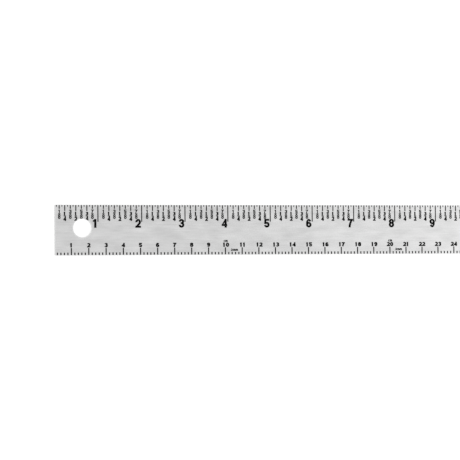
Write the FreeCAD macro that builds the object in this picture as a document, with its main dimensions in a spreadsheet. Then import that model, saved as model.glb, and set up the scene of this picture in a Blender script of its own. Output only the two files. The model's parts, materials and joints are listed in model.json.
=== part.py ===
"""A 12 inch steel rule: one flat blade whose two scales are etched and filled with black enamel.

The blade lies on its back with the graduated face up. Sizes are drawn from the corner where
the zero end meets the centimetre edge: X along the scales, Y across to the inch edge, Z up.
Each piece is then placed so that the origin is under the middle of the blade. The blade is
cut a little late, so the zero of both scales lies just outside the zero end.
"""

import FreeCAD, Part
from collections import namedtuple
import math
import os
import Sketcher

# The driving dimensions, in millimetres.
SIZES = [
    ("blade_length", 304.8, "12 in, from the zero end to the far end"),
    ("blade_width", 28.575, "1 1/8 in, from the centimetre edge to the inch edge"),
    ("blade_thickness", 1.0, "sheet that the blade is blanked from"),
    ("corner_radius", 0.3, "rounding of the four corners"),
    ("edge_break", 0.1, "chamfer that takes the burr off the rim of both faces"),
    ("hole_diameter", 10.5, "hole that the rule hangs by"),
    ("hole_from_end", 15.8, "from the zero end to the middle of the hole"),
    ("hole_from_inch_edge", 13.1, "from the inch edge to the middle of the hole"),
    ("etch_depth", 0.08, "depth of the etched lines, which the enamel fills flush"),
    ("line_gap", 0.05, "flat strip between the edge break and the start of a line"),
    ("end_gap", 0.55, "least distance from the far end to the middle of a line"),
    ("zero_outside", 0.6, "from the zero of both scales to the zero end"),
    ("inch", 25.4, "numbered division of the inch scale"),
    ("inch_reach", 9.6, "from the inch edge to the inner end of an inch line"),
    ("half_reach", 3.5, "the same for a half inch line"),
    ("quarter_reach", 3.5, "the same for a quarter inch line"),
    ("eighth_reach", 2.25, "the same for an eighth inch line"),
    ("sixteenth_reach", 1.0, "the same for a sixteenth inch line"),
    ("inch_line_width", 0.62, "width of the lines of the inch scale, down to the eighths"),
    ("sixteenth_line_width", 0.56, "width of the sixteenth inch lines"),
    ("centimetre", 10.0, "numbered division of the centimetre scale"),
    ("centimetre_reach", 4.18, "from the centimetre edge to the inner end of a long line"),
    ("tick_reach", 1.58, "the same for a two millimetre line"),
    ("centimetre_line_width", 0.7, "width of the centimetre lines"),
    ("tick_line_width", 0.7, "width of the two millimetre lines"),
]
STEPS_PER_CENTIMETRE = 5  # two millimetre steps from one centimetre line to the next
VOLUME_SLACK = 1e-3  # mm3 that rounding may leave between a cut and what fills it

# A set of lines: the edge they start at, how far they reach from it, their width, the pitch
# at which they repeat, and where on the scale the lines that repeat stand.
LineSet = namedtuple("LineSet", "name edge reach line_width pitch places")

# The lines of each finer set stand halfway between those of the coarser ones.
LINE_SETS = [
    LineSet("inch_lines", "inch", "sizes.inch_reach", "sizes.inch_line_width",
            "sizes.inch", ["sizes.inch"]),
    LineSet("half_inch_lines", "inch", "sizes.half_reach", "sizes.inch_line_width",
            "sizes.inch", ["sizes.inch / 2"]),
    LineSet("quarter_inch_lines", "inch", "sizes.quarter_reach", "sizes.inch_line_width",
            "sizes.inch / 2", ["sizes.inch / 4"]),
    LineSet("eighth_inch_lines", "inch", "sizes.eighth_reach", "sizes.inch_line_width",
            "sizes.inch / 4", ["sizes.inch / 8"]),
    LineSet("sixteenth_inch_lines", "inch", "sizes.sixteenth_reach",
            "sizes.sixteenth_line_width", "sizes.inch / 8", ["sizes.inch / 16"]),
    LineSet("centimetre_lines", "centimetre", "sizes.centimetre_reach",
            "sizes.centimetre_line_width", "sizes.centimetre", ["sizes.centimetre"]),
    LineSet("two_millimetre_lines", "centimetre", "sizes.tick_reach",
            "sizes.tick_line_width", "sizes.centimetre",
            [f"{step} * sizes.centimetre / {STEPS_PER_CENTIMETRE}"
             for step in range(1, STEPS_PER_CENTIMETRE)]),
]

doc = FreeCAD.newDocument("steel_rule")


def make_sheet():
    """Puts the driving dimensions into the document's spreadsheet, one named cell each."""
    sheet = doc.addObject("Spreadsheet::Sheet", "sizes")
    for row, (alias, value, meaning) in enumerate(SIZES, start=1):
        sheet.set(f"A{row}", meaning)
        sheet.set(f"B{row}", str(value))
        sheet.setAlias(f"B{row}", alias)
    doc.recompute()


def origin_feature(body, role):
    """The plane or axis of a body's own origin that has this role."""
    return next(f for f in body.Origin.OriginFeatures if f.Role == role)


def new_body(name):
    """A body drawn from the corner of the blade and placed about the middle of its back."""
    body = doc.addObject("PartDesign::Body", name)
    body.Label = name
    body.setExpression("Placement.Base.x", "-sizes.blade_length / 2")
    body.setExpression("Placement.Base.y", "-sizes.blade_width / 2")
    return body


def new_sketch(body, name, height):
    """A sketch level with the back of the blade and raised to a height."""
    sketch = body.newObject("Sketcher::SketchObject", name)
    sketch.AttachmentSupport = [(origin_feature(body, "XY_Plane"), "")]
    sketch.MapMode = "FlatFace"
    sketch.setExpression("AttachmentOffset.Base.z", height)
    return sketch


def add_dimension(sketch, kind, places, name, size):
    """A dimension of a sketch that follows the spreadsheet."""
    index = sketch.addConstraint(Sketcher.Constraint(kind, *places, 1.0))
    sketch.renameConstraint(index, name)
    sketch.setExpression(f"Constraints.{name}", size)


def draw_rectangle(sketch, name, left, bottom, width, height):
    """A rectangle given by its lower left corner, its width and its height."""
    first = sketch.GeometryCount
    sides = [first, first + 1, first + 2, first + 3]
    corners = [FreeCAD.Vector(x, y, 0) for x, y in ((1, 1), (2, 1), (2, 2), (1, 2))]
    for start, end in zip(corners, corners[1:] + corners[:1]):
        sketch.addGeometry(Part.LineSegment(start, end), False)
    for side, following in zip(sides, sides[1:] + sides[:1]):
        sketch.addConstraint(Sketcher.Constraint("Coincident", side, 2, following, 1))
    for side, direction in zip(sides, ("Horizontal", "Vertical", "Horizontal", "Vertical")):
        sketch.addConstraint(Sketcher.Constraint(direction, side))
    add_dimension(sketch, "DistanceX", (sides[0], 1, sides[0], 2), f"{name}_width", width)
    add_dimension(sketch, "DistanceY", (sides[1], 1, sides[1], 2), f"{name}_height", height)
    add_dimension(sketch, "DistanceX", (-1, 1, sides[0], 1), f"{name}_left", left)
    add_dimension(sketch, "DistanceY", (-1, 1, sides[0], 1), f"{name}_bottom", bottom)


def make_enamel(line_set):
    """The enamel in one set of etched lines, flush with the face of the blade."""
    body = new_body(line_set.name)
    footprint = new_sketch(body, f"{line_set.name}_footprint",
                           "sizes.blade_thickness - sizes.etch_depth")
    bottom = "sizes.edge_break + sizes.line_gap"
    if line_set.edge == "inch":
        bottom = f"sizes.blade_width - {line_set.reach}"
    length = f"{line_set.reach} - sizes.edge_break - sizes.line_gap"
    for number, place in enumerate(line_set.places, start=1):
        left = f"{place} - sizes.zero_outside - {line_set.line_width} / 2"
        draw_rectangle(footprint, f"line{number}", left, bottom, line_set.line_width, length)

    fill = body.newObject("PartDesign::Pad", f"{line_set.name}_fill")
    fill.Profile = footprint
    fill.setExpression("Length", "sizes.etch_depth")
    doc.recompute()

    # The lines repeat as often as the blade has room for the last of them.
    last = f"{line_set.places[-1]} - sizes.zero_outside"
    room = f"sizes.blade_length - sizes.end_gap - ({last})"
    scale = body.newObject("PartDesign::LinearPattern", f"{line_set.name}_scale")
    scale.Originals = [fill]
    scale.Direction = (origin_feature(body, "X_Axis"), [""])
    scale.Mode = "Spacing"
    scale.setExpression("Offset", line_set.pitch)
    scale.setExpression("Occurrences", f"floor(({room}) / ({line_set.pitch})) + 1")
    body.Tip = scale
    doc.recompute()
    return body


def edge_names(shape, wanted):
    """The names of a shape's edges that a test picks out."""
    return [f"Edge{i}" for i, edge in enumerate(shape.Edges, start=1) if wanted(edge)]


def is_upright(edge):
    return edge.BoundBox.XLength < 1e-6 and edge.BoundBox.YLength < 1e-6


def is_level(edge):
    return edge.BoundBox.ZLength < 1e-6


def make_blank():
    """The blade before etching: a sheet with round corners, broken rims and a hang hole."""
    body = new_body("blank")
    outline = new_sketch(body, "blade_outline", "0")
    draw_rectangle(outline, "blade", "0", "0", "sizes.blade_length", "sizes.blade_width")
    sheet = body.newObject("PartDesign::Pad", "blade_sheet")
    sheet.Profile = outline
    sheet.setExpression("Length", "sizes.blade_thickness")
    doc.recompute()

    corners = body.newObject("PartDesign::Fillet", "blade_corners")
    corners.Base = (sheet, edge_names(sheet.Shape, is_upright))
    corners.setExpression("Radius", "sizes.corner_radius")
    doc.recompute()

    rims = body.newObject("PartDesign::Chamfer", "blade_rims")
    rims.Base = (corners, edge_names(corners.Shape, is_level))
    rims.setExpression("Size", "sizes.edge_break")
    doc.recompute()

    circle = new_sketch(body, "hang_hole_outline", "sizes.blade_thickness")
    circle.addGeometry(Part.Circle(FreeCAD.Vector(1, 1, 0), FreeCAD.Vector(0, 0, 1), 1), False)
    add_dimension(circle, "Diameter", (0,), "hole_size", "sizes.hole_diameter")
    add_dimension(circle, "DistanceX", (-1, 1, 0, 3), "hole_along", "sizes.hole_from_end")
    add_dimension(circle, "DistanceY", (-1, 1, 0, 3), "hole_across",
                  "sizes.blade_width - sizes.hole_from_inch_edge")
    hole = body.newObject("PartDesign::Pocket", "hang_hole")
    hole.Profile = circle
    hole.Type = "ThroughAll"
    doc.recompute()
    return body


def etch_blade(blank, enamel):
    """The blade: its blank with a groove wherever a line of enamel lies."""
    lines = doc.addObject("Part::Compound", "all_lines")
    lines.Links = enamel
    blade = doc.addObject("Part::Cut", "blade")
    blade.Label = "blade"
    blade.Base = blank
    blade.Tool = lines
    doc.recompute()
    return blade


def check_document():
    """Stops the build if any feature of the document failed."""
    failed = [o.Name for o in doc.Objects if "Invalid" in o.State or "Error" in o.State]
    if failed:
        raise RuntimeError(f"these features failed: {failed}")


def check_pieces(pieces):
    """Stops the build if a piece has no shape, or one that isn't sound."""
    for piece in pieces:
        if piece.Shape.isNull() or not piece.Shape.isValid():
            raise RuntimeError(f"{piece.Label} has no sound shape")


def check_volumes(blade, blank, enamel):
    """Stops the build unless the hole and every groove took just their own volume away."""
    circle = math.pi * doc.sizes.hole_diameter ** 2 / 4
    before_hole = doc.blade_rims.Shape.Volume
    hole_left = blank.Shape.Volume - before_hole + circle * doc.sizes.blade_thickness
    filled = 0.0
    for body in enamel:
        filled += body.Shape.Volume
        print(f"{body.Label}: {len(body.Shape.Solids)} lines, {body.Shape.Volume:.2f} mm3")
    grooves_left = blade.Shape.Volume - blank.Shape.Volume + filled
    print(f"blade: {blade.Shape.Volume:.1f} mm3, {len(blade.Shape.Faces)} faces")
    if abs(hole_left) > VOLUME_SLACK or abs(grooves_left) > VOLUME_SLACK:
        raise RuntimeError(f"left uncut: {hole_left} mm3 of hole, {grooves_left} of grooves")


make_sheet()
enamel_sets = [make_enamel(line_set) for line_set in LINE_SETS]
blank_body = make_blank()
etched_blade = etch_blade(blank_body, enamel_sets)
sub_parts = [etched_blade, *enamel_sets]
check_document()
check_pieces(sub_parts)
check_volumes(etched_blade, blank_body, enamel_sets)

os.makedirs("parts", exist_ok=True)
for part in sub_parts:
    part.Shape.exportStep(f"parts/{part.Label}.step")
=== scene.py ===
# %% [markdown]
# # A 12 inch steel rule
# A steel rule is one strip of stainless sheet. Its lines and figures are etched a few
# hundredths of a millimetre deep and filled with black enamel, which is baked on and wiped
# level. The CAD model has the strip, its hang hole and every etched line with its enamel.
# This lesson adds what is left to the eye: the figures, the brushed steel, the enamel, a
# white table and the light.

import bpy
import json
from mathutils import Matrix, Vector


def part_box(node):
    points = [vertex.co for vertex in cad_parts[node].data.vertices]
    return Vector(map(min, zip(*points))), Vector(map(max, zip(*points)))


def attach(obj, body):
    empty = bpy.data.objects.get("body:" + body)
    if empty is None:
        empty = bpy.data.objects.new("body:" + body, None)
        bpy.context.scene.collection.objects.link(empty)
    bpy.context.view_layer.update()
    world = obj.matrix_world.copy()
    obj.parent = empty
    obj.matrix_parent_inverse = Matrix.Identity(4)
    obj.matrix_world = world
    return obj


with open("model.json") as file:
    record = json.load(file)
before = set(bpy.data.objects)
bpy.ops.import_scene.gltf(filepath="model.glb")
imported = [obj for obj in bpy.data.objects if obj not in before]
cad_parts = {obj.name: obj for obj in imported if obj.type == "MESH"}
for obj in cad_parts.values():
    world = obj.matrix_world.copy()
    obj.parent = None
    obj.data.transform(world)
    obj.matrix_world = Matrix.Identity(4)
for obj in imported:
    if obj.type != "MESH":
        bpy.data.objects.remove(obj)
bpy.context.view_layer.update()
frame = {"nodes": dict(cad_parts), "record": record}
print("pieces from CAD:", ", ".join(sorted(frame["nodes"])))

# %% [markdown]
# Blender works in metres, but a rule is drawn in millimetres, and every place on it is told
# from an edge or from the zero of its scales. This blade is cut a little late, so the zero
# lies just outside it. The edges are measured from the blade, and the zero from the lines:
# they repeat at one pitch, so their middle is half of one pitch more than their count away
# from the zero.

# %% Measure the blade
import bpy
import numpy as np

MM = 0.001
blade_low, blade_high = (np.array(corner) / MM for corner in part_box("blade"))
centimetre_edge, inch_edge, face = blade_low[1], blade_high[1], blade_high[2]
print("blade", (blade_high - blade_low).round(3), "mm")

INCH = 25.4
CENTIMETRE = 10.0


def read_scale(lines, pitch):
    """The zero of a scale and how many of its lines there are. The count is the span over
    the pitch, plus one. The zero is the middle of the span less (count + 1) / 2 pitches."""
    first, last = (corner.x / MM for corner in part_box(lines))
    count = round((last - first) / pitch) + 1
    return (first + last) / 2 - (count + 1) / 2 * pitch, count


zero, inch_count = read_scale("inch_lines", INCH)
centimetre_zero, centimetre_count = read_scale("centimetre_lines", CENTIMETRE)
print(f"{inch_count} inches and {centimetre_count} centimetres from {blade_low[0] - zero:.2f}",
      f"and {blade_low[0] - centimetre_zero:.2f} mm outside the zero end")

mounts = {mount["name"]: mount for mount in frame["record"]["mounts"]}
hole_centre = np.array(mounts["hang_hole"]["pos_m"][:2]) / MM
hole_radius = mounts["hang_hole"]["dims"]["r_mm"]
print(f"hang hole {2 * hole_radius:.1f} mm across, {hole_centre[0] - blade_low[0]:.1f} mm in")

# %% [markdown]
# ## The camera
# The picture is taken from above the zero end with a long lens, turned 15 degrees along the
# blade, so that the far end is a little further off and a little smaller. The blade runs out
# of the frame on the right. A camera can be moved by eye until the picture looks right, but
# the lines of two scales ask for more. The lens, the place and the turns are fitted, so that
# every inch and centimetre line falls where the picture has it.

# %% Place the camera
SENSOR_WIDTH, LENS = 36.0, 168.08  # mm
CAMERA_PLACE = (-370.98, -29.78, 1195.11)
CAMERA_TURN = (1.3742, -15.0375, -0.4789)  # degrees: nod, swing along the blade, tilt

camera_data = bpy.data.cameras.new("copy_stand_camera")
camera_data.sensor_width = SENSOR_WIDTH
camera_data.lens = LENS
camera = bpy.data.objects.new("copy_stand_camera", camera_data)
camera.location = np.array(CAMERA_PLACE) * MM
camera.rotation_mode = "ZXY"
camera.rotation_euler = np.radians(CAMERA_TURN)
bpy.context.scene.collection.objects.link(camera)
bpy.context.scene.camera = camera
print(f"camera {CAMERA_PLACE[2]:.0f} mm above the table")

# %% [markdown]
# ## Colours and nodes
# A colour is written as the hex value that a screen shows. A shader works with linear light,
# so one function turns the one into the other. A second small function adds a node with its
# settings and links, which keeps a material short enough to read as a recipe. Nodes could
# also be linked one by one, but then the links hide what is mixed with what.

# %% Colour and node helpers
def linear(hex_colour):
    """Linear light of an sRGB hex colour: each channel is lifted a little and raised to the
    power 2.4, apart from the darkest, which are a plain twelfth or so."""
    channels = np.array([int(hex_colour[i:i + 2], 16) for i in (1, 3, 5)]) / 255
    toe, lifted = channels / 12.92, ((channels + 0.055) / 1.055) ** 2.4
    return (*np.where(channels <= 0.04045, toe, lifted), 1.0)


def add_node(tree, kind, links=None, **settings):
    """A node of a shader tree with its settings. Each input is given as a value, a socket
    or another node, whose first output in use is then meant."""
    node = tree.nodes.new(kind)
    for name, value in settings.items():
        setattr(node, name, value)
    for name, source in (links or {}).items():
        if isinstance(source, bpy.types.Node):
            source = next(socket for socket in source.outputs if socket.enabled)
        if isinstance(source, bpy.types.NodeSocket):
            tree.links.new(source, node.inputs[name])
        else:
            node.inputs[name].default_value = source
    return node


def new_material(name):
    """A material without nodes, and its tree."""
    material = bpy.data.materials.new(name)
    material.use_nodes = True
    material.node_tree.nodes.clear()
    return material, material.node_tree


print("a mid grey screen value is linear", round(linear("#808080")[0], 3))

# %% [markdown]
# ## Brushed stainless steel
# The sheet is belt-brushed along its length before it is etched. That leaves fine scratches
# that all run one way, a soft satin gloss and faint long streaks a little lighter or darker
# than the rest. A photograph of brushed steel could be laid on the blade, but it blurs from
# close by and repeats. Noise that is stretched along the blade does neither. Four of them
# make the sheet: broad clouds from the rolling mill, streaks from the belt, bundles of
# scratches, and hairlines that show only from close by.

# %% Stretch noise along the blade
CLOUD = (11.0, 4.5)  # mm along and across
STREAK = (14.0, 0.9)
SCRATCH = (7.0, 0.35)
HAIRLINE = (5.0, 0.06)  # a belt of 180 grit leaves 0.02 mm, which is too fine to show


def stretched_noise(tree, place, size, detail):
    """Noise whose cells are as long and as wide as the size says, in millimetres."""
    scale = (1 / (size[0] * MM), 1 / (size[1] * MM), 1 / (size[1] * MM))
    mapped = add_node(tree, "ShaderNodeMapping", {"Vector": place, "Scale": scale})
    return add_node(tree, "ShaderNodeTexNoise",
                    {"Vector": mapped, "Scale": 1.0, "Detail": detail})


print(f"{(blade_high - blade_low)[1] / STREAK[1]:.0f} streaks side by side")

# %% [markdown]
# After blanking, the sharp rims of the outline and the hole are polished, so for most of a
# millimetre they are smoother, and they are painted brighter too, a painted highlight where
# the rounded rims catch the light. A mask drawn in an image could say where, but it would
# have to be drawn again whenever a size changes. The shader finds the rims by itself, from
# the distance to the outline and to the hole.

# %% Find the rims that get a painted highlight
# the rims get their painted highlight and their smoother gloss over this width
RIM_WIDTH = 0.8  # mm that the buffing reaches in from a rim
RIM_WAVE = 0.6  # mm that it reaches further in some places than in others


def near_rim(tree, place, unevenness):
    """1 at a rim, falling to 0 one rim width inwards. The distance to the outline is the
    smaller of half the length less |x| and half the width less |y|, both from the middle.
    The distance to the hole is that to its centre, less its radius. The unevenness, a number
    of about a half, makes the distance a little more or less."""
    middle, half = (blade_low + blade_high) / 2 * MM, (blade_high - blade_low) / 2 * MM
    centred = add_node(tree, "ShaderNodeVectorMath", {0: place, 1: middle},
                       operation="SUBTRACT")
    apart = add_node(tree, "ShaderNodeVectorMath", {0: centred}, operation="ABSOLUTE")
    inwards = add_node(tree, "ShaderNodeVectorMath", {0: half, 1: apart},
                       operation="SUBTRACT")
    sides = add_node(tree, "ShaderNodeSeparateXYZ", {"Vector": inwards}).outputs
    outline = add_node(tree, "ShaderNodeMath", {0: sides["X"], 1: sides["Y"]},
                       operation="MINIMUM")
    flat = add_node(tree, "ShaderNodeVectorMath", {0: place, 1: (1, 1, 0)},
                    operation="MULTIPLY")
    to_centre = add_node(tree, "ShaderNodeVectorMath", {0: flat, 1: (*hole_centre * MM, 0)},
                         operation="DISTANCE")
    hole = add_node(tree, "ShaderNodeMath", {0: to_centre, 1: hole_radius * MM},
                    operation="SUBTRACT")
    nearest = add_node(tree, "ShaderNodeMath", {0: outline, 1: hole}, operation="MINIMUM")
    wave = add_node(tree, "ShaderNodeMapRange",
                    {"Value": unevenness, "To Min": -RIM_WAVE * MM, "To Max": RIM_WAVE * MM})
    distance = add_node(tree, "ShaderNodeMath", {0: nearest, 1: wave}, operation="ADD")
    return add_node(tree, "ShaderNodeMapRange",
                    {"Value": distance, "From Min": 0.0, "From Max": RIM_WIDTH * MM,
                     "To Min": 1.0, "To Max": 0.0})


print("rims about", RIM_WIDTH, "mm wide")

# %% [markdown]
# The walls of the strip are painted lighter, a painted highlight as if they caught the light,
# and the small facets that break its rims are painted greyer, a painted shade that draws a
# fine line round the blade. They could get materials of their own, but the mesh comes from
# CAD and stays as it is, so one material tells them by how little their normal points up or
# down. Satin stainless is a metal of middling roughness, here a little rougher and smoother
# with the brushing, and its bump is as shallow as the scratches are.

# %% Brush the steel
SHEET_TONES = ("#b8b8b8", "#dadada")
SHEET_RANGE = (0.3, 0.7)  # of the mixed noise, between the two tones
# painted highlight: the lighter colour painted on the rims
RIM_HIGHLIGHT_TONE = "#e0e0e0"
# painted highlight on the walls, painted shade on the facets
WALL_HIGHLIGHT_TONE, FACET_SHADE_TONE = "#e2e2e2", "#b2b2b2"
SATIN_GLOSS, BUFFED_GLOSS, EDGE_GLOSS = (0.30, 0.44), 0.24, 0.34  # roughness
SCRATCH_DEPTH = 0.004  # mm


def mix_noises(tree, place):
    """The brushing alone, which is streaks, scratches and hairlines, the tone, which is the
    brushing and the clouds, and the scratches. Each noise takes four tenths of the mix that
    it joins."""
    streaks = stretched_noise(tree, place, STREAK, 4.0)
    scratches = stretched_noise(tree, place, SCRATCH, 3.0)
    clouds = stretched_noise(tree, place, CLOUD, 4.0)
    hairlines = stretched_noise(tree, place, HAIRLINE, 1.0)
    belt = add_node(tree, "ShaderNodeMix", {"Factor": 0.4, "A": streaks, "B": scratches})
    brushing = add_node(tree, "ShaderNodeMix", {"Factor": 0.4, "A": belt, "B": hairlines})
    tone = add_node(tree, "ShaderNodeMix", {"Factor": 0.4, "A": brushing, "B": clouds})
    return brushing, tone, scratches


def brushed_steel():
    """Satin stainless, streaked along the blade, with a painted highlight near its rims and on its
    walls and a painted shade on its facets. Upright is 1 on the faces, 0.71 on the facets and 0 on
    the walls."""
    material, tree = new_material("brushed_stainless_steel")
    coordinates = add_node(tree, "ShaderNodeTexCoord").outputs
    place = coordinates["Object"]
    brushing, tone, scratches = mix_noises(tree, place)
    rim = near_rim(tree, place, scratches)
    normal = add_node(tree, "ShaderNodeSeparateXYZ", {"Vector": coordinates["Normal"]})
    upright = add_node(tree, "ShaderNodeMath", {0: normal.outputs["Z"]}, operation="ABSOLUTE")
    edge = add_node(tree, "ShaderNodeMapRange",
                    {"Value": upright, "From Min": 0.77, "From Max": 0.97,
                     "To Min": 1.0, "To Max": 0.0})

    lightness = add_node(tree, "ShaderNodeMapRange",
                         {"Value": tone, "From Min": SHEET_RANGE[0],
                          "From Max": SHEET_RANGE[1]})
    sheet = add_node(tree, "ShaderNodeMix",
                     {"Factor": lightness, "A": linear(SHEET_TONES[0]),
                      "B": linear(SHEET_TONES[1])}, data_type="RGBA")
    # painted highlight: the rims are painted lighter than the sheet
    rim_highlighted = add_node(tree, "ShaderNodeMix",
                      {"Factor": rim, "A": sheet, "B": linear(RIM_HIGHLIGHT_TONE)},
                      data_type="RGBA")
    # painted highlight on the walls and painted shade on the facets, picked by which way each
    # faces
    facet = add_node(tree, "ShaderNodeMapRange",
                     {"Value": upright, "From Min": 0.4, "From Max": 0.6})
    edge_highlight_and_shade = add_node(tree, "ShaderNodeMix",
                           {"Factor": facet, "A": linear(WALL_HIGHLIGHT_TONE), "B": linear(FACET_SHADE_TONE)},
                           data_type="RGBA")
    colour = add_node(tree, "ShaderNodeMix",
                      {"Factor": edge, "A": rim_highlighted, "B": edge_highlight_and_shade}, data_type="RGBA")

    satin = add_node(tree, "ShaderNodeMapRange",
                     {"Value": brushing, "To Min": SATIN_GLOSS[0], "To Max": SATIN_GLOSS[1]})
    smoother = add_node(tree, "ShaderNodeMix", {"Factor": rim, "A": satin, "B": BUFFED_GLOSS})
    gloss = add_node(tree, "ShaderNodeMix", {"Factor": edge, "A": smoother, "B": EDGE_GLOSS})
    relief = add_node(tree, "ShaderNodeBump",
                      {"Height": brushing, "Strength": 0.25, "Distance": SCRATCH_DEPTH * MM})
    surface = add_node(tree, "ShaderNodeBsdfPrincipled",
                       {"Base Color": colour, "Metallic": 1.0, "Roughness": gloss,
                        "Normal": relief})
    add_node(tree, "ShaderNodeOutputMaterial", {"Surface": surface})
    return material


steel = brushed_steel()
frame["nodes"]["blade"].data.materials.clear()
frame["nodes"]["blade"].data.materials.append(steel)
print("steel:", len(steel.node_tree.nodes), "nodes")

# %% [markdown]
# ## Black enamel
# The etched lines are flooded with black stoving enamel, wiped and baked. It dries matt to
# satin, with a slightly grainy skin where the etched floor under it is rough, and a few
# spots where the wiping has left it thin and greyer. One even black would do from afar, but
# from close by it looks like a hole in the steel. So two noises, grain and thin spots, vary
# its colour and gloss. Enamel bends light as glass does, at the default IOR, but so rough a
# skin gives back little of it, hence the low specular level.

# %% Bake the enamel
GRAIN = (0.25, 0.25)  # mm; the real grain is finer, but wouldn't show
THIN_SPOT = (2.5, 1.2)
ENAMEL_TONES = ("#030303", "#0d0d0d")
ENAMEL_RANGE = (0.35, 0.75)
ENAMEL_GLOSS = (0.45, 0.65)
GRAIN_DEPTH = 0.01  # mm


def black_enamel():
    """Baked black enamel: nearly black, low gloss, a little uneven."""
    material, tree = new_material("black_stoving_enamel")
    place = add_node(tree, "ShaderNodeTexCoord").outputs["Object"]
    grain = stretched_noise(tree, place, GRAIN, 2.0)
    thin = stretched_noise(tree, place, THIN_SPOT, 2.0)
    skin = add_node(tree, "ShaderNodeMix", {"Factor": 0.5, "A": grain, "B": thin})
    greyness = add_node(tree, "ShaderNodeMapRange",
                        {"Value": skin, "From Min": ENAMEL_RANGE[0],
                         "From Max": ENAMEL_RANGE[1]})
    colour = add_node(tree, "ShaderNodeMix",
                      {"Factor": greyness, "A": linear(ENAMEL_TONES[0]),
                       "B": linear(ENAMEL_TONES[1])}, data_type="RGBA")
    gloss = add_node(tree, "ShaderNodeMapRange",
                     {"Value": grain, "To Min": ENAMEL_GLOSS[0], "To Max": ENAMEL_GLOSS[1]})
    relief = add_node(tree, "ShaderNodeBump",
                      {"Height": grain, "Strength": 0.3, "Distance": GRAIN_DEPTH * MM})
    surface = add_node(tree, "ShaderNodeBsdfPrincipled",
                       {"Base Color": colour, "Roughness": gloss,
                        "Specular IOR Level": 0.05, "Normal": relief})
    add_node(tree, "ShaderNodeOutputMaterial", {"Surface": surface})
    return material


enamel = black_enamel()
line_nodes = [name for name in frame["nodes"] if name != "blade"]
for name in line_nodes:
    frame["nodes"][name].data.materials.clear()
    frame["nodes"][name].data.materials.append(enamel)
print("enamel on", len(line_nodes), "sets of lines")

# %% [markdown]
# ## The paths of a pen
# Figures on a rule are bold and plain, so that they etch cleanly and read at a glance. A
# font would be quick, but Blender's own has a bare stroke for a one, and these figures are
# heavier and squarer. So they are drawn: a figure is a list of strokes, and a stroke is a
# path that a pen follows, made of straight lines and pieces of ellipses in a box one unit
# high. Each point of a path is a row of four numbers: its place, and the side to which the
# pen reaches there. On a round that side is straight out from the centre, so both edges of
# the stroke are ellipses too and never cross.

# %% Draw lines and rounds
def curve(centre, radii, start, stop, step):
    """Points on an ellipse: the centre plus the radii times the cosine and sine of an angle
    that runs from start to stop, in degrees, in equal parts of about one step. The left side
    is the cosine and sine themselves, turned round where the angle grows."""
    parts = max(2, int(np.ceil(abs(stop - start) / step)))
    angle = np.radians(np.linspace(start, stop, parts + 1))
    outwards = np.stack([np.cos(angle), np.sin(angle)], 1)
    return np.hstack([centre + np.array(radii) * outwards, outwards * np.sign(start - stop)])


def straight(first, last):
    """The two ends of a straight stroke. Their left side is its direction turned by 90
    degrees."""
    along = np.subtract(last, first) / np.linalg.norm(np.subtract(last, first))
    left = (-along[1], along[0])
    return np.array([(*first, *left), (*last, *left)])


def lead_on(path, last):
    """The path, led on in a straight line to one more point."""
    return np.vstack([path, straight(path[-1, :2], last)[1]])


def slim(path, start, stop):
    """The path for a pen that goes evenly from one share of its width to another."""
    share = np.linspace(start, stop, len(path))[:, None]
    return np.hstack([path[:, :2], path[:, 2:] * share])


print("a quarter round has", len(curve((0, 0), (1, 1), 90, 0, 15)), "points")

# %% [markdown]
# ## The figures
# The pen is wider than it is tall, which leaves the level strokes a little thinner than the
# upright ones, as in print. The rounds could be drawn for one pen and made fatter, but then
# a figure grows out of its box and its counters close. Here the box stays, and every path
# keeps half a pen away from it.

# %% Draw the figures
from collections import namedtuple

Lettering = namedtuple("Lettering", "height stroke level width gap step")
# height, upright stroke and level stroke in mm; width of a figure and gap to the next one
# as shares of the height; degrees between two points of a round

WAIST = 0.53  # height at which the two rounds of a 3 or an 8 meet
TWO_BOWL, FIVE_BOWL, SIX_BOWL = 0.36, 0.66, 0.64  # heights of their rounds
ONE_SIDE = 0.49  # where the right side of a 1 stands
M_WIDTH, M_SPRING = 1.2, 0.56  # of an m, and the height at which its arches begin


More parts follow.
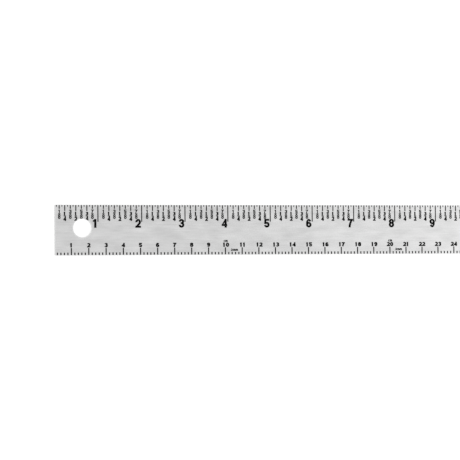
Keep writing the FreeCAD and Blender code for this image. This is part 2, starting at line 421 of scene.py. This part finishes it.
def figure_paths(name, lettering):
    """The strokes of a figure in a box one unit high: paths of the pen's middle. Rounds are
    ellipses that touch the box, less half a pen. The hook of a 2 or a 3 starts at an angle
    that is smaller for a broader pen, which keeps it open. The bare numbers are angles, and
    places and shares that were set by looking at each figure."""
    across = lettering.stroke / lettering.height / 2
    up = lettering.level / lettering.height / 2
    width, step = lettering.width, lettering.step
    middle, reach = width / 2, width / 2 - across
    low, high, left = up, 1 - up, across
    hook = 240 - 430 * across
    upper = ((middle, (high + WAIST) / 2), (0.94 * reach, (high - WAIST) / 2))
    lower = ((middle, (WAIST + low) / 2), (reach, (WAIST - low) / 2))
    if name == "0":
        return [curve((middle, 0.5), (reach, high - 0.5), 0, 360, step)]
    if name == "1":
        stem = ONE_SIDE - across
        flag = slim(curve((0.07, 0.98), (stem - 0.07, 0.22), 0, -90, step), 1, 0.8)
        return [straight((stem, 0), (stem, 1)), flag]
    if name == "2":
        bowl = TWO_BOWL - up
        top = curve((middle, high - bowl), (0.97 * reach, bowl), hook, -30, step)
        return [lead_on(top, (left + 0.02, low)), straight((0, low), (width, low))]
    if name == "3":
        tongue = straight((0.34 * width, WAIST), (middle, WAIST))
        return [curve(*upper, hook, -90, step), curve(*lower, 90, -hook, step), tongue]
    if name == "4":
        stem, bar = width - 1.4 * across, 0.18 + up
        slope = slim(straight((stem - 0.03, high), (0.6 * across, bar)), 0.66, 0.66)
        return [straight((stem, 0), (stem, 1)), straight((0, bar), (width, bar)), slope]
    if name == "5":
        top = FIVE_BOWL - up
        bowl = ((middle, (top + low) / 2), (reach, (top - low) / 2))
        back = slim(straight((left + 0.03, high), (left, 0.4)), 0.9, 0.9)
        return [straight((0.04, high), (width - 0.3 * across, high)), back,
                curve(*bowl, 140, -172, step)]
    if name == "6":
        top = SIX_BOWL - up
        bowl = ((middle, (top + low) / 2), (reach, (top - low) / 2))
        neck = curve((middle, 0.5), (reach, high - 0.5), 30, 180, step)
        return [curve(*bowl, 0, 360, step), lead_on(neck, (left, bowl[0][1]))]
    if name == "7":
        foot, bend = 0.36 * width, 1.45 * width
        slope = curve((foot + bend, 0), (bend, 1.22), 132, 180, step)
        return [straight((0, high), (width, high)), slope]
    if name == "8":
        return [curve(*upper, 0, 360, step), curve(*lower, 0, 360, step)]
    if name == "9":
        return [(width, 1, 0, 0) - path for path in figure_paths("6", lettering)]
    if name == "c":
        return [curve((middle, 0.5), (reach, high - 0.5), 48, 312, step)]
    if name == "m":
        stems = [across, M_WIDTH / 2, M_WIDTH - across]
        arches = []
        for start, stop in zip(stems, stems[1:]):
            centre, radii = ((start + stop) / 2, M_SPRING), ((stop - start) / 2, high - M_SPRING)
            arches.append(lead_on(curve(centre, radii, 180, 0, step), (stop, 0)))
        return [straight((across, 0), (across, 1)), *arches]
    raise ValueError(f"no figure {name}")


def cell_width(name, width):
    """How wide the cell of a figure or letter is, as a share of its height. All figures have
    one width, apart from the slimmer 1."""
    return {"m": M_WIDTH, "1": 0.88 * width}.get(name, width)


thin_letters = Lettering(height=5, stroke=0.9, level=0.8, width=0.6, gap=0.1, step=15)
print("an 8 has", sum(len(path) for path in figure_paths("8", thin_letters)), "points")

# %% [markdown]
# ## From a path to a stroke of enamel
# Each path becomes a thin closed strip: a flat rectangle, as wide as the pen and as thick as
# the film, is carried along it. A curve with a bevel would do much the same, but its pen is
# as wide in every direction. On the real rule this enamel is level with the steel. The CAD
# blade has no grooves for the figures, so the film lies on its face, 0.012 mm proud, which
# doesn't show, and reaches just below it so that no gap opens. Where two strokes of a figure
# cross, the later one lies a hair higher, so that their tops don't share a plane.

# %% Carry the pen along a path
FILM_TOP, FILM_ROOT = 0.012, -0.01  # mm above the face
FILM_STEP = 0.002  # mm that each stroke of a figure lies higher than the one before
CORNERS = 4  # of the rectangle that is carried


def carry_pen(path, pen, number=0):
    """A closed strip along a path. Its edges are each point plus and minus its left side
    times half the pen, which is as wide as an upright stroke and as tall as a level one,
    once at the film's top and once at its root. A path that doesn't come back to its start
    gets two end faces. Returns corners and faces."""
    closed = np.allclose(path[0], path[-1])
    if closed:
        path = path[:-1]
    count = len(path)
    points, aside = path[:, :2], path[:, 2:] * pen / 2
    top = np.full(count, face + FILM_TOP + number * FILM_STEP)
    root = np.full(count, face + FILM_ROOT)
    left, right = (points + aside).T, (points - aside).T
    corners = np.stack([np.stack([*left, top], 1), np.stack([*left, root], 1),
                        np.stack([*right, root], 1), np.stack([*right, top], 1)], 1)
    start = np.arange(count if closed else count - 1)[:, None]
    side = np.arange(CORNERS)[None, :]
    here, there = start * CORNERS, (start + 1) % count * CORNERS
    following = (side + 1) % CORNERS
    faces = np.stack([here + side, there + side, there + following, here + following], -1)
    faces = faces.reshape(-1, CORNERS)
    if not closed:
        ends = np.array([[0, 1, 2, 3], [3, 2, 1, 0]]) + [[0], [(count - 1) * CORNERS]]
        faces = np.vstack([faces, ends])
    return corners.reshape(-1, 3), faces


def clear_of_hole(corners):
    """Corners that lie in the hang hole are moved straight out to its rim: the centre plus
    the radius times the direction to the corner. The hole is punched after the etching, so
    it cuts into the fractions above it."""
    from_centre = corners[:, :2] - hole_centre
    distance = np.linalg.norm(from_centre, axis=1, keepdims=True)
    inside = distance < hole_radius
    rim = hole_centre + from_centre / np.maximum(distance, 1e-6) * hole_radius
    corners[:, :2] = np.where(inside, rim, corners[:, :2])
    return int(inside.sum())


def enamel_piece(name, strips):
    """One object made of all the strips of a set of figures."""
    offsets = np.cumsum([0] + [len(corners) for corners, _ in strips[:-1]])
    corners = np.vstack([corners for corners, _ in strips])
    faces = np.vstack([faces + offset for (_, faces), offset in zip(strips, offsets)])
    moved = clear_of_hole(corners)
    mesh = bpy.data.meshes.new(name)
    mesh.from_pydata(corners * MM, [], faces)
    mesh.materials.append(enamel)
    piece = bpy.data.objects.new(name, mesh)
    bpy.context.scene.collection.objects.link(piece)
    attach(piece, "root")
    print(f"{name}: {len(strips)} strokes, {len(faces)} faces, {moved} corners at the rim")


def write(text, lettering, x, y, align):
    """Strips for a row of figures whose feet stand at y, with x at its left, middle or
    right as align says (0, 0.5 or 1)."""
    height, pen = lettering.height, (lettering.stroke, lettering.level)
    shares = [cell_width(name, lettering.width) for name in text]
    starts = np.cumsum([0.0] + [share + lettering.gap for share in shares[:-1]])
    left = x - align * (starts[-1] + shares[-1]) * height
    strips = []
    for name, start in zip(text, starts):
        for number, path in enumerate(figure_paths(name, lettering)):
            path[:, :2] = path[:, :2] * height + (left + start * height, y)
            strips.append(carry_pen(path, pen, number))
    return strips


print("film", round(FILM_TOP - FILM_ROOT, 3), "mm thick")

# %% [markdown]
# ## Inch figures
# The big figures stand to the left of their lines, so close that the foot of the line runs
# past their shoulders. They could be placed one by one by eye, but every figure keeps the
# same distance to its line, so one loop places them all.

# %% Number the inches
INCH_LETTERS = Lettering(height=5.03, stroke=1.31, level=1.11, width=0.665, gap=0.08, step=12)
INCH_FIGURE_TOP = 8.0  # mm from the inch edge
INCH_FIGURE_GAP = 0.42  # from a figure's right side to the middle of its line

inch_foot = inch_edge - INCH_FIGURE_TOP - INCH_LETTERS.height
inch_strips = []
for inch in range(1, inch_count + 1):
    right = zero + inch * INCH - INCH_FIGURE_GAP
    inch_strips += write(str(inch), INCH_LETTERS, right, inch_foot, 1)
enamel_piece("inch_figures", inch_strips)

# %% [markdown]
# ## Fractions
# Every eighth of an inch has its fraction under its line, one figure over the other with a
# thin bar between. Eighths are written light and quarters heavy, and both keep the same gap
# to the end of their own line, so the quarters stand lower. A list of all fractions could be
# typed in, but counting eighths and reducing each fraction gives them with no slip.

# %% Write the fractions
EIGHTH_LETTERS = Lettering(height=2.65, stroke=0.58, level=0.52, width=0.59, gap=0.08, step=22.5)
QUARTER_LETTERS = Lettering(height=2.6, stroke=0.81, level=0.63, width=0.66, gap=0.08, step=22.5)
NUMERATOR_SHARE = 0.8  # the upper figure is lower, but as wide
FRACTION_GAP = 0.4  # from the end of a line to its fraction
STACK_GAP = 0.6  # between the two figures
BAR_WIDTH, BAR_PEN = 1.45, (0.48, 0.48)
BAR_DROP = 0.32  # from the upper figure's foot to the middle of the bar


def fraction(numerator, denominator, x, line_end, lettering):
    """Strips for a fraction centred under the end of its line."""
    lower = lettering._replace(height=lettering.height * NUMERATOR_SHARE,
                               width=lettering.width / NUMERATOR_SHARE)
    upper_foot = line_end - FRACTION_GAP - lower.height
    bar = upper_foot - BAR_DROP
    lower_foot = upper_foot - STACK_GAP - lettering.height
    line = straight((x - BAR_WIDTH / 2, bar), (x + BAR_WIDTH / 2, bar))
    return [*write(str(numerator), lower, x, upper_foot, 0.5), carry_pen(line, BAR_PEN),
            *write(str(denominator), lettering, x, lower_foot, 0.5)]


eighth_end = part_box("eighth_inch_lines")[0].y / MM
quarter_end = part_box("quarter_inch_lines")[0].y / MM
fraction_strips = []
for eighth in range(1, inch_count * 8):
    within = eighth % 8
    if within == 0:
        continue
    x = zero + eighth * INCH / 8
    common = np.gcd(within, 8)
    light = common == 1
    end, lettering = (eighth_end, EIGHTH_LETTERS) if light else (quarter_end, QUARTER_LETTERS)
    fraction_strips += fraction(within // common, 8 // common, x, end, lettering)
enamel_piece("fraction_figures", fraction_strips)

# %% [markdown]
# ## Centimetre figures
# The centimetres are numbered above their lines, and the two units of the scale are named
# in small letters: cm over each tenth figure, and 2 mm, the step between two lines, beside
# it. They are written with the same pen paths as the inches, only wider and bolder, because
# small figures need it to stay readable.

# %% Number the centimetres
CENTIMETRE_LETTERS = Lettering(height=2.5, stroke=0.9, level=0.7, width=0.82, gap=0.0, step=12)
CENTIMETRE_FIGURE_FOOT = 4.48  # mm from the centimetre edge
PAIR_SHIFT = 0.08  # mm that two figures stand to the right of their line
SLIM_PAIR_SHIFT = 0.36  # and the same where the first of them is a slim 1
UNIT_LETTERS = Lettering(height=1.25, stroke=0.44, level=0.5, width=0.73, gap=0.03, step=18)
UNIT_FOOT, UNIT_SHIFT = 7.22, 0.19  # mm from the edge, and to the right of the line
STEP_FIGURE_LETTERS = Lettering(height=1.4, stroke=0.48, level=0.46, width=0.72, gap=0.06, step=18)
STEP_LETTERS = Lettering(height=1.22, stroke=0.42, level=0.48, width=0.72, gap=0.05, step=18)
STEP_FOOT = 2.12  # mm from the edge
STEP_FIGURE_PLACE, STEP_UNIT_PLACE = 3.3, 4.54  # mm past the tenth line

figure_foot = centimetre_edge + CENTIMETRE_FIGURE_FOOT
unit_foot, step_foot = centimetre_edge + UNIT_FOOT, centimetre_edge + STEP_FOOT
centimetre_strips, unit_strips = [], []
for centimetre in range(1, centimetre_count + 1):
    x = centimetre_zero + centimetre * CENTIMETRE
    pair_shift = SLIM_PAIR_SHIFT if centimetre < 20 else PAIR_SHIFT
    middle = x if centimetre < 10 else x + pair_shift
    centimetre_strips += write(str(centimetre), CENTIMETRE_LETTERS, middle, figure_foot, 0.5)
    if centimetre % 10 == 0:
        unit_strips += write("cm", UNIT_LETTERS, x + UNIT_SHIFT, unit_foot, 0.5)
    if centimetre % 10 == 0 and centimetre < centimetre_count:
        unit_strips += write("2", STEP_FIGURE_LETTERS, x + STEP_FIGURE_PLACE, step_foot, 0)
        unit_strips += write("mm", STEP_LETTERS, x + STEP_UNIT_PLACE, step_foot, 0)
enamel_piece("centimetre_figures", centimetre_strips)
enamel_piece("unit_letters", unit_strips)

# %% [markdown]
# ## The table
# The rule lies on white card. The card is lit like anything else, and a little light of its
# own, for the camera and for what the steel mirrors, lifts the open card to pure white,
# while the thin shadow that the blade throws stays. Stronger lamps would whiten it too, but
# they would burn out the steel.

# %% Lay the table
TABLE_SIZE = 6000.0  # mm
TABLE_DROP = 0.02  # mm below the blade, so that the two faces don't share a plane
FIBRE = (1.5, 1.5)  # mm; real fibres are finer, but wouldn't show
CARD_TONES = ("#eeeeee", "#f8f8f8")
CARD_GLOW = 0.4


def seen_directly(tree):
    """1 for a ray of the camera, of gloss or of glass, 0 for the light that matt surfaces
    gather."""
    rays = add_node(tree, "ShaderNodeLightPath").outputs
    seen = rays["Is Camera Ray"]
    for kind in ("Is Glossy Ray", "Is Transmission Ray"):
        seen = add_node(tree, "ShaderNodeMath", {0: seen, 1: rays[kind]}, operation="MAXIMUM")
    return seen


def white_card():
    """Matt white card that also glows a little, to whatever sees it directly."""
    material, tree = new_material("matt_white_card")
    place = add_node(tree, "ShaderNodeTexCoord").outputs["Object"]
    fibres = stretched_noise(tree, place, FIBRE, 3.0)
    colour = add_node(tree, "ShaderNodeMix",
                      {"Factor": fibres, "A": linear(CARD_TONES[0]),
                       "B": linear(CARD_TONES[1])}, data_type="RGBA")
    card = add_node(tree, "ShaderNodeBsdfDiffuse", {"Color": colour})
    glow_level = add_node(tree, "ShaderNodeMath", {0: seen_directly(tree), 1: CARD_GLOW},
                          operation="MULTIPLY")
    glow = add_node(tree, "ShaderNodeEmission",
                    {"Color": linear("#ffffff"), "Strength": glow_level})
    both = add_node(tree, "ShaderNodeAddShader", {0: card, 1: glow})
    add_node(tree, "ShaderNodeOutputMaterial", {"Surface": both})
    return material


def lay_table():
    """A square sheet of card centred under the rule."""
    reach = TABLE_SIZE * MM / 2
    corners = np.array([(-1, -1, 0), (1, -1, 0), (1, 1, 0), (-1, 1, 0)]) * reach
    corners[:, 2] = -TABLE_DROP * MM
    mesh = bpy.data.meshes.new("table")
    mesh.from_pydata(corners, [], [(0, 1, 2, 3)])
    mesh.materials.append(white_card())
    table = bpy.data.objects.new("table", mesh)
    bpy.context.scene.collection.objects.link(table)


lay_table()
print("table laid")

# %% [markdown]
# ## The light
# Steel shows what stands round it, so it is lit by a white tent: the world is white to the
# camera and to gloss, and softer to matt surfaces. One large soft lamp hangs past the far
# end of the blade, and the satin steel picks up its glow there, fading towards the zero end.
# A lamp straight above would light it evenly, and the steel would look like grey paint.

# %% Light the tent
TENT_LEVEL = 0.75  # what a matt surface gets from the tent
LAMP_PLACE = (900.0, 0.0, 1100.0)
LAMP_SIZE = 700.0
LAMP_POWER = 1.65


def light_tent():
    """A white world, full strength to the camera, gloss and glass, softer to matt."""
    world = bpy.data.worlds.new("light_tent")
    world.use_nodes = True
    tree = world.node_tree
    tree.nodes.clear()
    level = add_node(tree, "ShaderNodeMapRange",
                     {"Value": seen_directly(tree), "To Min": TENT_LEVEL, "To Max": 1.0})
    tent = add_node(tree, "ShaderNodeBackground",
                    {"Color": linear("#ffffff"), "Strength": level})
    add_node(tree, "ShaderNodeOutputWorld", {"Surface": tent})
    bpy.context.scene.world = world


def hang_lamp():
    """A square soft lamp over the far end, facing the middle of the blade."""
    lamp_data = bpy.data.lights.new("soft_lamp", "AREA")
    lamp_data.shape = "SQUARE"
    lamp_data.size = LAMP_SIZE * MM
    lamp_data.energy = LAMP_POWER
    lamp = bpy.data.objects.new("soft_lamp", lamp_data)
    lamp.location = np.array(LAMP_PLACE) * MM
    lamp.rotation_euler = (-lamp.location).to_track_quat("-Z", "Y").to_euler()
    bpy.context.scene.collection.objects.link(lamp)


light_tent()
hang_lamp()
bpy.context.scene.view_settings.view_transform = "Standard"
print("tent and lamp set")

# %% [markdown]
# ## The end

# %% Finish
import json
